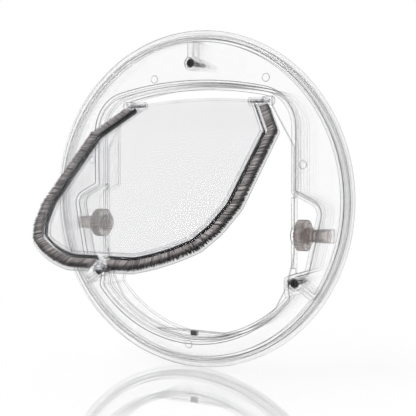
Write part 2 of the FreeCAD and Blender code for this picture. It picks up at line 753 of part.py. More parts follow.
channel_edge = "-(sizes.seal_gap + sizes.pile_length)"
groove_edge = "-(sizes.seal_gap + sizes.pile_length + sizes.groove_depth)"
panel_edge = "-(sizes.seal_gap + sizes.pile_length + sizes.channel_depth)"
backing_edge = "-(sizes.seal_gap + sizes.pile_length + sizes.groove_depth - sizes.backing_depth)"
slot_edge = ("-(sizes.seal_gap + sizes.pile_length + sizes.groove_depth - sizes.backing_depth"
             " - sizes.slot_clearance)")
magnet_low = "(places.sill_z + sizes.seal_gap + sizes.pile_length - sizes.pocket_drop + sizes.pocket_floor)"


def pocket_space(name, margin, depth_start, depth):
    return block(name,
                 ("-sizes.magnet_width / 2 - " + margin, "sizes.magnet_width + 2 * " + margin),
                 (depth_start, depth),
                 (magnet_low + " - " + margin, "sizes.flap_magnet_height + 2 * " + margin))


def build_flap_panel():
    under_arch = rod("panel_arch", ALONG_Y, "sizes.top_arch_radius - sizes.panel_top_gap", "100",
                     y="sizes.flap_y - 50", z="places.top_z - sizes.top_arch_radius")
    groove_floor = grown("groove_floor_outline", flap_envelope, groove_edge)
    panel = common("panel_sheet", [flap_slab("panel_blank", groove_floor, "panel_thickness"), under_arch])
    rim = cut("channel_rim",
              flap_slab("channel_outside", grown("channel_outline", flap_envelope, channel_edge),
                        "channel_thickness"),
              slab("channel_inside", grown("channel_inner_outline", flap_envelope, panel_edge),
                   "sizes.flap_y - 20", "40"))
    groove = cut("channel_groove",
                 fuse("groove_and_slot", [
                     flap_slab("groove_outside", flap_envelope, "groove_width"),
                     flap_slab("slot_outside", grown("slot_outline", flap_envelope, slot_edge),
                               "slot_width")]),
                 flap_slab("groove_inside", groove_floor, "channel_thickness"))
    channel = common("channel_body", [cut("channel_open", rim, groove),
                                      below("channel_trim", "places.channel_top_z")])
    pocket = block("magnet_pocket",
                   ("-sizes.pocket_half_width", "2 * sizes.pocket_half_width"),
                   (FLAP_MIDDLE % "channel_thickness", "sizes.channel_thickness"),
                   ("places.sill_z + sizes.seal_gap + sizes.pile_length - sizes.pocket_drop",
                    "sizes.pocket_drop + sizes.channel_depth"))
    solids = [panel, channel, pocket]
    holes = []
    for name, side in SIDES:
        start = "places.knuckle_inner_x" if side > 0 else "-places.knuckle_outer_x"
        solids.append(rod("knuckle_" + name, ALONG_X, "sizes.knuckle_radius",
                          "places.knuckle_outer_x - places.knuckle_inner_x",
                          x=start, y="sizes.flap_y", z="places.hinge_z"))
        holes.append(rod("knuckle_%s_bore" % name, ALONG_X, "sizes.pin_radius + sizes.pin_clearance",
                         "places.knuckle_outer_x - places.knuckle_inner_x + 2",
                         x=start + " - 1", y="sizes.flap_y", z="places.hinge_z"))
    back = "sizes.flap_y + sizes.channel_thickness / 2 - sizes.cap_thickness"
    holes.append(pocket_space("magnet_space", "sizes.magnet_clearance",
                              back + " - sizes.flap_magnet_depth - sizes.magnet_clearance", "20"))
    holes.append(pocket_space("cap_space", "sizes.cap_margin", back, "20"))
    flap = cut("flap_panel_body", fuse("flap_panel_solid", solids), fuse("flap_panel_holes", holes))
    finish_node(swing_open(flap), "flap_panel")
    magnet = pocket_space("flap_magnet_block", "0", back + " - sizes.flap_magnet_depth",
                          "sizes.flap_magnet_depth")
    finish_node(swing_open(carried("flap_magnet_body", magnet)), "flap_magnet")
    cap = pocket_space("flap_cap_block", "(sizes.cap_margin - 0.05)", back, "sizes.cap_thickness")
    finish_node(swing_open(carried("flap_cap_body", cap)), "flap_magnet_cap")


def build_brushes():
    """A black backing strip in the channel and the pile that it holds, one of each a side."""
    gap_top = size("sill_z") + size("seal_gap") + size("pile_length") + size("channel_depth")
    gap_low = size("sill_z") - 5.0
    corners = [(-size("gap_half_top"), gap_top), (size("gap_half_top"), gap_top),
               (size("gap_half_bottom"), gap_low), (-size("gap_half_bottom"), gap_low)]
    gap_sketch = outline_sketch("brush_gap_outline",
                                [line(a, b) for a, b in zip(corners, corners[1:] + corners[:1])])
    tip = grown("pile_tip_outline", flap_envelope, "-sizes.seal_gap")
    root = grown("pile_root_outline", flap_envelope, backing_edge)
    floor = grown("backing_floor_outline", flap_envelope, groove_edge)
    mouth = grown("pile_mouth_outline", flap_envelope, channel_edge)
    tufts = cut("pile_tufts",
                slab("pile_tufts_outside", tip, "sizes.flap_y + sizes.pile_offset - sizes.pile_spread / 2",
                     "sizes.pile_spread"),
                slab("pile_tufts_inside", mouth, "sizes.flap_y - 20", "40"))
    roots = cut("pile_roots", flap_slab("pile_roots_outside", tip, "pile_thickness"),
                slab("pile_roots_inside", root, "sizes.flap_y - 20", "40"))
    strip = cut("backing_strip", flap_slab("backing_outside", root, "backing_thickness"),
                slab("backing_inside", floor, "sizes.flap_y - 20", "40"))
    for kind, ring in (("brush_backing", strip), ("brush_pile", fuse("pile_ring", [tufts, roots]))):
        band = cut(kind + "_band", ring,
                   slab(kind + "_gap", gap_sketch, "sizes.flap_y - 20", "40"))
        for name, side in SIDES:
            low_x = "0" if side > 0 else "-200"
            half = block("%s_%s_half" % (kind, name), (low_x, "200"), ("sizes.flap_y - 50", "100"),
                         ("-300", "300 + places.pile_top_z"))
            piece = common("%s_%s_body" % (kind, name), [band, half])
            finish_node(swing_open(piece), "%s_%s" % (kind, name))


def build_hinge_pins():
    for name, side in SIDES:
        inner = "places.knuckle_inner_x + sizes.pin_end_gap"
        length = ("places.lug_outer_x - sizes.lug_end_wall - sizes.bolt_clearance"
                  " - places.knuckle_inner_x - sizes.pin_end_gap")
        start = inner if side > 0 else "-(%s) - (%s)" % (inner, length)
        finish_node(rod("hinge_pin_%s_body" % name, ALONG_X, "sizes.pin_radius", length,
                        x=start, y="sizes.flap_y", z="places.hinge_z"), "hinge_pin_" + name)


# Locks: a ribbed wheel in each recess drives a coarse screw across the flap's edge

def face_side(body, side):
    """Place a lock piece drawn along +X about its own axis."""
    turn = FreeCAD.Rotation(V(0, 0, 1), 0 if side > 0 else 180)
    body.Placement = FreeCAD.Placement(V(0, 0, 0), turn)
    return bind(body, Placement__Base__y="sizes.flap_y", Placement__Base__z=lock_height(side))


def ribbed_circle(name):
    """The rim of the wheel: ribs with a flat top and a flat valley."""
    outer = size("wheel_radius")
    inner = outer - size("wheel_rib_depth")
    step = 2 * math.pi / WHEEL_RIBS
    points = []
    for rib in range(WHEEL_RIBS):
        for share, radius in ((0.0, outer), (0.4, outer), (0.55, inner), (0.85, inner)):
            turn = (rib + share) * step
            points.append((radius * math.cos(turn), radius * math.sin(turn)))
    sketch = doc.addObject("Sketcher::SketchObject", name)
    for start, end in zip(points, points[1:] + points[:1]):
        sketch.addGeometry(line(start, end))
    sketch.Placement = FreeCAD.Placement(V(0, 0, 0), ALONG_X)
    return sketch


def build_locks():
    nose_tip = "places.edge_x + sizes.nose_margin"
    for name, side in SIDES:
        dome = doc.addObject("Part::Sphere", "nose_dome_" + name)
        bind(dome, Radius="sizes.dome_radius", Placement__Base__x=nose_tip + " + sizes.dome_radius")
        barrel = rod("nose_barrel_" + name, ALONG_X, "sizes.nose_radius", "sizes.nose_length",
                     x=nose_tip)
        nose = common("nose_" + name, [dome, barrel])
        tail = turned("bolt_tail_" + name,
                      toothed_profile("bolt_tail_%s_section" % name, size("tail_length"),
                                      size("tail_radius"), size("tail_root_radius"),
                                      size("tail_pitch")), V(1, 0, 0))
        bind(tail, Placement__Base__x=nose_tip + " + sizes.nose_length - sizes.tail_overlap")
        bolt = fuse("bolt_%s_body" % name, [nose, tail])
        finish_node(face_side(bolt, side), name + "_lock_bolt")

        rim = doc.addObject("Part::Extrusion", "wheel_rim_" + name)
        rim.Base = ribbed_circle("wheel_outline_" + name)
        rim.DirMode = "Custom"
        rim.Dir = V(1, 0, 0)
        rim.Solid = True
        bind(rim, LengthFwd="sizes.wheel_thickness", Placement__Base__x="places.wheel_x")
        hub = rod("wheel_hub_" + name, ALONG_X, "sizes.wheel_hub_radius",
                  "sizes.wheel_thickness + sizes.wheel_hub_length", x="places.wheel_x")
        bore = rod("wheel_bore_" + name, ALONG_X, "sizes.tail_radius + sizes.bolt_clearance",
                   "sizes.tail_length", x="places.wheel_x - 1")
        cup = rod("wheel_cup_" + name, ALONG_X, "sizes.nose_radius + sizes.bolt_clearance",
                  "sizes.wheel_cup_depth + 1", x="places.wheel_x - 1")
        dish = rod("wheel_dish_" + name, ALONG_X, "sizes.wheel_radius - sizes.wheel_rim_width",
                   "sizes.wheel_dish_depth + 1",
                   x="places.wheel_x + sizes.wheel_thickness - sizes.wheel_dish_depth")
        disc = cut("wheel_disc_" + name, rim, dish)
        wheel = cut("wheel_%s_body" % name, fuse("wheel_solid_" + name, [disc, hub]),
                    fuse("wheel_holes_" + name, [bore, cup]))
        finish_node(face_side(wheel, side), name + "_lock_wheel")


build_front_frame()
build_rear_frame()
build_pane_seal()
build_screws()
build_sill()
build_flap_panel()
build_brushes()
build_hinge_pins()
build_locks()
doc.recompute()

failed = [thing.Name for thing in doc.Objects if "Invalid" in thing.State or "Error" in thing.State]
if failed:
    raise SystemExit("failed features: " + ", ".join(failed))
for node in nodes:
    if node.Shape.isNull() or not node.Shape.isValid() or not node.Shape.Solids:
        raise SystemExit("bad shape: " + node.Label)

os.makedirs("parts", exist_ok=True)
for node in nodes:
    node.Shape.exportStep("parts/%s.step" % node.Label)
    box = node.Shape.BoundBox
    print("%-20s solids %d volume %9.1f  x %7.1f %7.1f  y %7.1f %7.1f  z %7.1f %7.1f" % (
        node.Label, len(node.Shape.Solids), node.Shape.Volume, box.XMin, box.XMax,
        box.YMin, box.YMax, box.ZMin, box.ZMax))
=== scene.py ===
import bpy
import json
import math
import random
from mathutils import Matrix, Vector


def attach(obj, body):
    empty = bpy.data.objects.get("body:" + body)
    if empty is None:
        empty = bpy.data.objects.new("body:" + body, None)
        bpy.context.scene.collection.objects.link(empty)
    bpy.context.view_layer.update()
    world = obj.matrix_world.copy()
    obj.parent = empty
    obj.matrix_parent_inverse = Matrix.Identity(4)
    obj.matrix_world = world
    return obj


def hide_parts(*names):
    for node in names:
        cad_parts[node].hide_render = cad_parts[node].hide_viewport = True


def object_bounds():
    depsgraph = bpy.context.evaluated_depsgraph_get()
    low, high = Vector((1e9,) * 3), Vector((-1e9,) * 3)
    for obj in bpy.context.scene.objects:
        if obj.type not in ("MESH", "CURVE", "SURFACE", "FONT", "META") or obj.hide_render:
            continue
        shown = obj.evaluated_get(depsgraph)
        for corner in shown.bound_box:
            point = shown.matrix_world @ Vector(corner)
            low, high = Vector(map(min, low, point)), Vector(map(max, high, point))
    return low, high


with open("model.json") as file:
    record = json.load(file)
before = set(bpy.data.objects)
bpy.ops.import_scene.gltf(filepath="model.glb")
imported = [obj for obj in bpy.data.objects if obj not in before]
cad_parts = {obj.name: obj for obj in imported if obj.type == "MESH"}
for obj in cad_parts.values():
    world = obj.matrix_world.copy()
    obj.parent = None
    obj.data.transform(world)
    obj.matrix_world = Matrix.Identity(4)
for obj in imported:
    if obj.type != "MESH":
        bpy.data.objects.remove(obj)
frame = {"nodes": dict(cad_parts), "record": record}
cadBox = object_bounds()
print("frame loaded:", len(frame["nodes"]), "nodes")

# Everything is in metres. +X runs across the opening, +Y from outside to inside, +Z up.

photo = {
    "pixels": 416,
    "distance": 0.700,            # camera to the centre of the ring
    "azimuth": 29.29,             # degrees from straight on, towards +X
    "elevation": 1.78,
    "focalPixels": 875.57,
    "centreX": 194.06,            # where the ring's centre lands in the photo
    "centreY": 199.51,
    "sensor": 36.0,
}

studio = {
    "floorSize": 12.0,
    "worldStrength": 0.80,        # what lights the object, while camera and glass see plain white
    "keyStrength": 1.1,
    "keySpread": 50.0,            # degrees
    "keyFrom": (-0.55, -0.75, 0.95),
    "floorColour": (0.985, 0.985, 0.985),
    "floorGloss": 0.60,
    "floorRoughness": 0.02,
    "floorFade": (0.14, 0.42),    # from the object's shadow out to plain white, metres
    "bounces": 24,                # clear walls behind one another need more than the usual 12
}


# Helpers for modelling

def deselectAll():
    for item in bpy.context.selected_objects:
        item.select_set(False)


def newMesh(name, vertices, faces):
    mesh = bpy.data.meshes.new(name)
    mesh.from_pydata(vertices, [], faces)
    mesh.update()
    piece = bpy.data.objects.new(name, mesh)
    bpy.context.scene.collection.objects.link(piece)
    return piece


def finishPiece(piece, body, material, nodeName):
    piece.data.materials.append(material)
    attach(piece, body)
    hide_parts(nodeName)


# Helpers for materials

cornerLines = {
    "samples": 6,
    "from": 0.004,                # how far the surface turns before its painted shade line begins, and is full
    "to": 0.07,
}


class Wire:                                       # one output of a material's node, used in sums
    def __init__(self, finish, socket):
        self.finish = finish
        self.socket = socket

    def math(self, operation, first, second):
        return self.finish.node("ShaderNodeMath", {"operation": operation}, {0: first, 1: second})

    def __add__(self, other):
        return self.math("ADD", self, other)

    def __radd__(self, other):
        return self.math("ADD", other, self)

    def __rsub__(self, other):
        return self.math("SUBTRACT", other, self)

    def __mul__(self, other):
        return self.math("MULTIPLY", self, other)

    def __rmul__(self, other):
        return self.math("MULTIPLY", other, self)

    def __pow__(self, other):
        return self.math("POWER", self, other)


class Finish:                                     # one material and the nodes in it
    def __init__(self, name):
        self.material = bpy.data.materials.new(name)
        self.material.use_nodes = True
        self.tree = self.material.node_tree
        self.tree.nodes.clear()

    def node(self, kind, settings=None, inputs=None, output=0):
        made = self.tree.nodes.new(kind)
        for key, value in (settings or {}).items():
            setattr(made, key, value)
        for key, value in (inputs or {}).items():
            socket = made.inputs[key]
            if isinstance(value, Wire):
                self.tree.links.new(value.socket, socket)
            elif socket.type == "RGBA":
                socket.default_value = (*value, 1.0)
            else:
                socket.default_value = value
        return Wire(self, made.outputs[output]) if made.outputs else made

    def place(self):
        return self.node("ShaderNodeTexCoord", output="Object")

    def noise(self, scale, detail=3.0, roughness=0.5):
        return self.node("ShaderNodeTexNoise", None, {"Vector": self.place(), "Scale": scale,
                                                      "Detail": detail, "Roughness": roughness})

    def blend(self, amount, low, high):
        return self.node("ShaderNodeMix", {"data_type": "RGBA"}, {0: amount, 6: low, 7: high}, output=2)

    def steps(self, amount, low, high):
        return self.node("ShaderNodeMapRange", {"interpolation_type": "SMOOTHSTEP"},
                         {"Value": amount, "From Min": low, "From Max": high})

    def bump(self, height, strength, distance):
        return self.node("ShaderNodeBump", None, {"Height": height, "Strength": strength,
                                                  "Distance": distance})

    def corners(self, radius):                    # 1 on sharp edges, 0 a little way from them; the mask for painted shade lines
        rounded = self.node("ShaderNodeBevel", {"samples": cornerLines["samples"]}, {"Radius": radius})
        plain = self.node("ShaderNodeNewGeometry", output="Normal")
        match = self.node("ShaderNodeVectorMath", {"operation": "DOT_PRODUCT"},
                          {0: rounded, 1: plain}, output="Value")
        return self.steps(1.0 - match, cornerLines["from"], cornerLines["to"])

    def principled(self, inputs):
        return self.node("ShaderNodeBsdfPrincipled", None, inputs)

    def done(self, shader):
        self.node("ShaderNodeOutputMaterial", None, {"Surface": shader})
        return self.material


# Camera, floor and light

def buildCamera():
    turn, rise = math.radians(photo["azimuth"]), math.radians(photo["elevation"])
    toCamera = Vector((math.sin(turn) * math.cos(rise), -math.cos(turn) * math.cos(rise), math.sin(rise)))
    camera = bpy.data.objects.new("photoCamera", bpy.data.cameras.new("photoCamera"))
    bpy.context.scene.collection.objects.link(camera)
    camera.location = toCamera * photo["distance"]
    camera.rotation_euler = (-toCamera).to_track_quat("-Z", "Y").to_euler()
    camera.data.sensor_width = photo["sensor"]
    camera.data.lens = photo["focalPixels"] / photo["pixels"] * photo["sensor"]
    camera.data.shift_x = (photo["pixels"] / 2 - photo["centreX"]) / photo["pixels"]
    camera.data.shift_y = (photo["centreY"] - photo["pixels"] / 2) / photo["pixels"]
    camera.data.clip_start = 0.01
    bpy.context.scene.camera = camera


def floorMaterial():
    finish = Finish("whiteAcrylic")
    matt = finish.node("ShaderNodeBsdfDiffuse", None, {"Color": studio["floorColour"]})
    distance = finish.node("ShaderNodeVectorMath", {"operation": "LENGTH"}, {0: finish.place()},
                           output="Value")
    seen = [finish.node("ShaderNodeLightPath", output=kind)
            for kind in ("Is Camera Ray", "Is Glossy Ray", "Is Transmission Ray")]
    plain = finish.steps(distance, *studio["floorFade"]) * (seen[0] + seen[1] + seen[2])
    gloss = finish.node("ShaderNodeBsdfGlossy", None, {"Color": (1.0, 1.0, 1.0),
                                                       "Roughness": studio["floorRoughness"]})
    near = finish.node("ShaderNodeMixShader", None, {0: studio["floorGloss"], 1: matt, 2: gloss})
    white = finish.node("ShaderNodeEmission", None, {"Color": (1.0, 1.0, 1.0), "Strength": 1.0})
    return finish.done(finish.node("ShaderNodeMixShader", None, {0: plain, 1: near, 2: white}))


def buildWorld():
    world = bpy.data.worlds.new("studioWorld")
    bpy.context.scene.world = world
    world.use_nodes = True
    nodes, links = world.node_tree.nodes, world.node_tree.links
    nodes.clear()
    path = nodes.new("ShaderNodeLightPath")
    plain = None                                  # 1 for what the camera, gloss and glass see
    for kind in ("Is Camera Ray", "Is Glossy Ray", "Is Transmission Ray"):
        if plain is None:
            plain = path.outputs[kind]
            continue
        either = nodes.new("ShaderNodeMath")
        either.operation = "MAXIMUM"
        links.new(plain, either.inputs[0])
        links.new(path.outputs[kind], either.inputs[1])
        plain = either.outputs[0]
    mix = nodes.new("ShaderNodeMixShader")
    links.new(plain, mix.inputs[0])
    for index, strength in ((1, studio["worldStrength"]), (2, 1.0)):
        light = nodes.new("ShaderNodeBackground")
        light.inputs["Color"].default_value = (1.0, 1.0, 1.0, 1.0)
        light.inputs["Strength"].default_value = strength
        links.new(light.outputs[0], mix.inputs[index])
    out = nodes.new("ShaderNodeOutputWorld")
    links.new(mix.outputs[0], out.inputs["Surface"])


def buildStudio():
    deselectAll()
    bpy.ops.mesh.primitive_plane_add(size=studio["floorSize"], location=(0, 0, cadBox[0][2] - 0.0002))
    floor = bpy.context.active_object
    floor.name = "studioFloor"
    floor.data.materials.append(floorMaterial())
    buildWorld()
    key = bpy.data.objects.new("softKey", bpy.data.lights.new("softKey", "SUN"))
    bpy.context.scene.collection.objects.link(key)
    key.data.energy = studio["keyStrength"]
    key.data.angle = math.radians(studio["keySpread"])
    key.rotation_euler = Vector(studio["keyFrom"]).to_track_quat("Z", "Y").to_euler()
    scene = bpy.context.scene
    scene.view_settings.view_transform = "Standard"
    scene.cycles.max_bounces = studio["bounces"]
    scene.cycles.transmission_bounces = studio["bounces"]
    scene.cycles.transparent_max_bounces = studio["bounces"]


buildCamera()
buildStudio()
print("camera, floor and light ready")


# Materials of the cat flap

clear = {
    "body": (0.990, 0.990, 0.991),
    "slope": (0.78, 0.78, 0.79),  # painted shade where the surface turns away, in place of the dark that refraction gives there
    "deep": (0.980, 0.980, 0.982),
    # painted shade: the colour of the dark lines on sharp edges and outlines
    "line": (0.030, 0.030, 0.032),
    "lineWidth": 0.0008,          # on each side of a sharp edge
    "lineStrength": 1.0,
    "outline": (0.86, 0.98),      # how far a surface turns away before its outline darkens with painted shade
    "straight": 0.80,             # the share of light that passes without bending
    "ior": 1.49,
    "roughness": 0.012,
    "scuff": 0.03,
    "scuffScale": 420.0,
    "grainScale": 260.0,          # of the slight change between body and deep
    "turnedAway": (0.45, 1.0),    # from body to the painted grazing shade
    "waveScale": 30.0,
    "waveStrength": 0.02,
    "waveDepth": 0.0004,
}
flapClear = {**clear, "body": (0.925, 0.925, 0.93), "deep": (0.915, 0.915, 0.92),
             "slope": (0.60, 0.60, 0.61), "straight": 0.93, "lineWidth": 0.0004,
             "lineStrength": 0.75}
softClear = {**clear, "body": (0.95, 0.95, 0.955), "deep": (0.94, 0.94, 0.945), "ior": 1.42,
             "roughness": 0.10, "scuff": 0.08, "lineStrength": 0.45, "waveScale": 90.0,
             "waveStrength": 0.1}
# the smoky plastic's grazing colour and line colour are painted shade too, darker than the clear ones
smoky = {**clear, "body": (0.80, 0.758, 0.74), "deep": (0.68, 0.632, 0.612),
         "slope": (0.10, 0.083, 0.077), "line": (0.020, 0.016, 0.015), "outline": (0.80, 0.95),
         "straight": 0.40, "tint": (0.78, 0.745, 0.727), "roughness": 0.02, "scuff": 0.04,
         "lineWidth": 0.0006, "lineStrength": 1.0, "clearFrom": 0.0915, "clearTo": 0.0885}


def clearMaterial(name, look):
    finish = Finish(name)
    scuffs = finish.noise(look["scuffScale"], 4.0, 0.65)
    flow = finish.noise(look["waveScale"], 2.0, 0.4)
    body = finish.blend(finish.noise(look["grainScale"]), look["deep"], look["body"])
    slope = look["slope"]
    if "clearTo" in look:                         # the bolts' noses turn clear towards the opening
        placeX = finish.node("ShaderNodeSeparateXYZ", None, {"Vector": finish.place()})
        fromMiddle = finish.node("ShaderNodeMath", {"operation": "ABSOLUTE"}, {0: placeX})
        nearness = finish.steps(fromMiddle, look["clearFrom"], look["clearTo"])
        body = finish.blend(nearness, body, clear["body"])
        slope = finish.blend(nearness, slope, clear["slope"])
    shared = {"IOR": look["ior"], "Transmission Weight": 1.0,
              "Roughness": look["roughness"] + look["scuff"] * scuffs ** 3.0,
              "Normal": finish.bump(flow, look["waveStrength"], look["waveDepth"])}
    # painted shade: the glass colour darkens where the surface turns away from the view, in place of the
    # dark that refraction gives at such edges
    away = finish.node("ShaderNodeLayerWeight", None, {"Blend": 0.5}, output="Facing")
    turned = finish.steps(away, *look["turnedAway"])
    glass = finish.principled({**shared, "Base Color": finish.blend(turned, body, slope)})
    through = finish.node("ShaderNodeMixShader", None, {
        0: look["straight"], 1: glass,
        2: finish.node("ShaderNodeBsdfTransparent", None, {"Color": look.get("tint", look["body"])})})
    # painted shade: dark lines on sharp edges and along outlines, mixed in below, in place of the dark
    # edges that refraction gives
    lines = finish.node("ShaderNodeMath", {"operation": "MAXIMUM"},
                        {0: finish.corners(look["lineWidth"]), 1: finish.steps(away, *look["outline"])})
    return finish.done(finish.node("ShaderNodeMixShader", None, {
        0: look["lineStrength"] * lines, 1: through,
        2: finish.principled({"Base Color": look["line"], "Roughness": 0.3})}))


pileLook = {                                      # colours from root to tip, darkest and palest bristle; the darkening towards the tip is painted shade
    "darkRoot": (0.075, 0.067, 0.068),
    "darkTipShaded": (0.020, 0.017, 0.018),
    "paleRoot": (0.60, 0.555, 0.55),
    "paleTipShaded": (0.17, 0.156, 0.158),
    "tipShadeFrom": 0.45,
    "roughness": (0.40, 0.2),     # of the darkest, and what the palest adds
    "sheen": 0.05,
}


def pileMaterial():
    finish = Finish("bristlePile")
    strand = finish.node("ShaderNodeAttribute", {"attribute_name": "strand"}, output="Color")
    shade = finish.node("ShaderNodeSeparateColor", None, {"Color": strand}, output="Red")
    along = finish.node("ShaderNodeSeparateColor", None, {"Color": strand}, output="Green")
    # painted shade: each bristle darkens over its outer part towards the tip, where the cut ends face
    # away from the light
    tip = finish.steps(along, pileLook["tipShadeFrom"], 1.0)
    dark = finish.blend(tip, pileLook["darkRoot"], pileLook["darkTipShaded"])
    pale = finish.blend(tip, pileLook["paleRoot"], pileLook["paleTipShaded"])
    return finish.done(finish.principled({
        "Base Color": finish.blend(shade, dark, pale),
        "Roughness": pileLook["roughness"][0] + pileLook["roughness"][1] * shade,
        "Sheen Weight": pileLook["sheen"]}))


plainLooks = {                                    # rough: the least, and what the grain adds
    "blackBacking": {"scale": 900.0, "detail": 3.0, "fine": 0.6, "dark": (0.006, 0.006, 0.007),
                     "pale": (0.022, 0.021, 0.022), "rough": (0.45, 0.25), "relief": (0.25, 0.0002),
                     "specular": 0.15},
    "blackSteel": {"scale": 700.0, "detail": 4.0, "fine": 0.7, "dark": (0.010, 0.010, 0.011),
                   "pale": (0.09, 0.087, 0.084), "contrast": 2.0, "metallic": 0.6,
                   "rough": (0.30, 0.25), "relief": (0.1, 0.0001)},
    "ferrite": {"scale": 1500.0, "detail": 4.0, "fine": 0.7, "dark": (0.010, 0.010, 0.012),
                "pale": (0.050, 0.049, 0.053), "rough": (0.42, 0.3), "relief": (0.2, 0.0001)},
    "nickel": {"scale": 1200.0, "detail": 3.0, "fine": 0.6, "dark": (0.50, 0.50, 0.51),
               "pale": (0.78, 0.78, 0.79), "metallic": 1.0, "rough": (0.12, 0.2),
               "relief": (0.1, 0.0001)},
}


def plainMaterial(name):
    look = plainLooks[name]
    finish = Finish(name)
    grain = finish.noise(look["scale"], look["detail"], look["fine"])
    spread = grain ** look["contrast"] if "contrast" in look else grain
    inputs = {"Base Color": finish.blend(spread, look["dark"], look["pale"]),
              "Roughness": look["rough"][0] + look["rough"][1] * grain,
              "Normal": finish.bump(grain, *look["relief"])}
    for key, socket in (("metallic", "Metallic"), ("specular", "Specular IOR Level")):
        if key in look:
            inputs[socket] = look[key]
    return finish.done(finish.principled(inputs))


def pinMaterial():
    finish = Finish("brightPin")
    stretched = finish.node("ShaderNodeMapping", None, {"Vector": finish.place(),
                                                        "Scale": (60.0, 3000.0, 3000.0)})
    lines = finish.node("ShaderNodeTexNoise", None, {"Vector": stretched, "Scale": 1.0, "Detail": 2.0})
    return finish.done(finish.principled({
        "Base Color": finish.blend(lines, (0.30, 0.30, 0.31), (0.52, 0.52, 0.53)),
        "Metallic": 1.0, "Roughness": 0.22 + 0.2 * lines}))


looks = {
    "clear_plastic": clearMaterial("clearFrame", clear),
    "flap_plastic": clearMaterial("clearFlap", flapClear),
    "clear_seal": clearMaterial("clearSeal", softClear),
    "lock_plastic": clearMaterial("smokyPlastic", smoky),
    "brush_backing": plainMaterial("blackBacking"),
    "black_steel": plainMaterial("blackSteel"),
    "magnet": plainMaterial("ferrite"),
    "pin_steel": pinMaterial(),
}

for subpart in frame["record"]["subparts"]:
    material = looks.get(subpart["material_slot"])
    if material:
        mesh = frame["nodes"][subpart["node"]].data
        mesh.materials.clear()
        mesh.materials.append(material)
plated = frame["nodes"]["flap_magnet"].data       # plated, so it hardly shows in its clear pocket
plated.materials.clear()
plated.materials.append(plainMaterial("nickel"))
print("finishes set")


# The brush: bristles along the flap's edge, drawn on the closed flap and then swung open

flapPlane = {"y": 0.0032, "z": 0.0765, "open": 48.8}        # hinge line, degrees open

edge = {                                          # the edge that the tips reach, one side
    "corners": [(0.0620, 0.0802, 0.0), (0.0847, 0.0410, 0.006), (0.0847, -0.0420, 0.026),
                (0.0786, -0.0660, 0.020), (0.0700, -0.08207, 0.0)],     # x, z, radius
    "bowlRadius": 0.1056,
    "bowlCentreZ": -0.0030,
    "sillZ": -0.1054,
    "topZ": 0.0710,               # where the pile ends below the hinge
    "gapRoot": 0.0052,            # half the gap in front of the magnet, at the channel
    "gapTip": 0.0088,
}

bristles = {
    "count": 21000,               # each side
    "rootInset": 0.0087,          # inside the mouth of the channel
    "tipInset": 0.0010,
    "uneven": {-1: 0.0024, 1: 0.0006},    # how much shorter the shortest are, left and right
    "rootDepth": (-0.0013, 0.0013),       # the row's thickness at the channel and at the tips
    "tipDepth": (-0.0028, 0.0023),
    "lean": 0.0005,
    "bend": 0.0004,
    "radius": 0.000115,
    "tuft": 0.0008,               # bristles gather in tufts about this far apart
    "rows": 1.99,                 # of tufts through the thickness, just under two
    "gather": 0.50,
    "spin": 6.283,                # how far a bristle may be turned about its length
    "toneTuft": 1.2,              # how much its tuft and its own chance lighten a bristle
    "toneOwn": 0.7,
    "toneLess": 0.48,
    "endSlack": 0.0003,           # how far tips may pass the ends of the row
    "endRun": 0.014,              # over this much of each end the bristles fan
    "seed": 11,
}


def roundedLine(corners, step):
    points = [Vector((corners[0][0], corners[0][1]))]
    for before, corner, after in zip(corners, corners[1:], corners[2:]):
        here = Vector((corner[0], corner[1]))
        back = (Vector((before[0], before[1])) - here).normalized()
        on = (Vector((after[0], after[1])) - here).normalized()
        half = back.angle(on) / 2
        reach = corner[2] / math.tan(half)
        middle = here + (back + on).normalized() * (corner[2] / math.sin(half))
        start = here + back * reach
        turn = math.pi - 2 * half
        count = max(2, int(turn * corner[2] / step))
        spin = -turn if back.cross(on) > 0 else turn
        arm = start - middle
        for index in range(count + 1):
            angle = spin * index / count
            points.append(middle + Vector((arm.x * math.cos(angle) - arm.y * math.sin(angle),
                                           arm.x * math.sin(angle) + arm.y * math.cos(angle))))
    points.append(Vector((corners[-1][0], corners[-1][1])))
    return points


def edgePoints(step=0.0005):
    corners = edge["corners"]
    points = roundedLine(corners, step)
    radius, centreZ = edge["bowlRadius"], edge["bowlCentreZ"]
    start = math.atan2(corners[-1][1] - centreZ, corners[-1][0])
    end = math.asin((edge["sillZ"] - centreZ) / radius)
    count = int(abs(end - start) * radius / step)
    for index in range(1, count + 1):
        angle = start + (end - start) * index / count
        points.append(Vector((radius * math.cos(angle), centreZ + radius * math.sin(angle))))
    points.append(Vector((0.0, edge["sillZ"])))
    even = [points[0]]                            # the same line again, in equal steps
    left = step
    for first, second in zip(points, points[1:]):
        length = (second - first).length
        at = left
        while at < length:
            even.append(first.lerp(second, at / length))
            at += step
        left = at - length
    return even


class EdgeLine:                                   # a place and an inward direction at any distance
    def __init__(self, step=0.0005, soften=6):
        self.step = step
        self.points = edgePoints(step)
        raw = [(b - a).normalized() for a, b in zip(self.points, self.points[1:])]
        self.inward = []
        for index in range(len(self.points)):
            low, high = max(0, index - soften), min(len(raw), index + soften)
            along = sum(raw[low:high], Vector((0.0, 0.0))).normalized()
            self.inward.append(Vector((along.y, -along.x)))

    def at(self, distance, inset):
        place = min(max(distance / self.step, 0.0), len(self.points) - 1.001)
        index = int(place)
        share = place - index
        inward = self.inward[index].lerp(self.inward[index + 1], share).normalized()
        return self.points[index].lerp(self.points[index + 1], share) + inward * inset

    def find(self, inset, test):                  # the first distance where a test holds
        for index in range(len(self.points) - 1):
            if test(self.at(index * self.step, inset)):
                return index * self.step
        return len(self.points) * self.step


def onFlap(side, x, z, depth):
    turn = math.radians(flapPlane["open"])
    drop = flapPlane["z"] - z
    return (side * x, flapPlane["y"] - drop * math.sin(turn) + depth * math.cos(turn),
            flapPlane["z"] - drop * math.cos(turn) - depth * math.sin(turn))


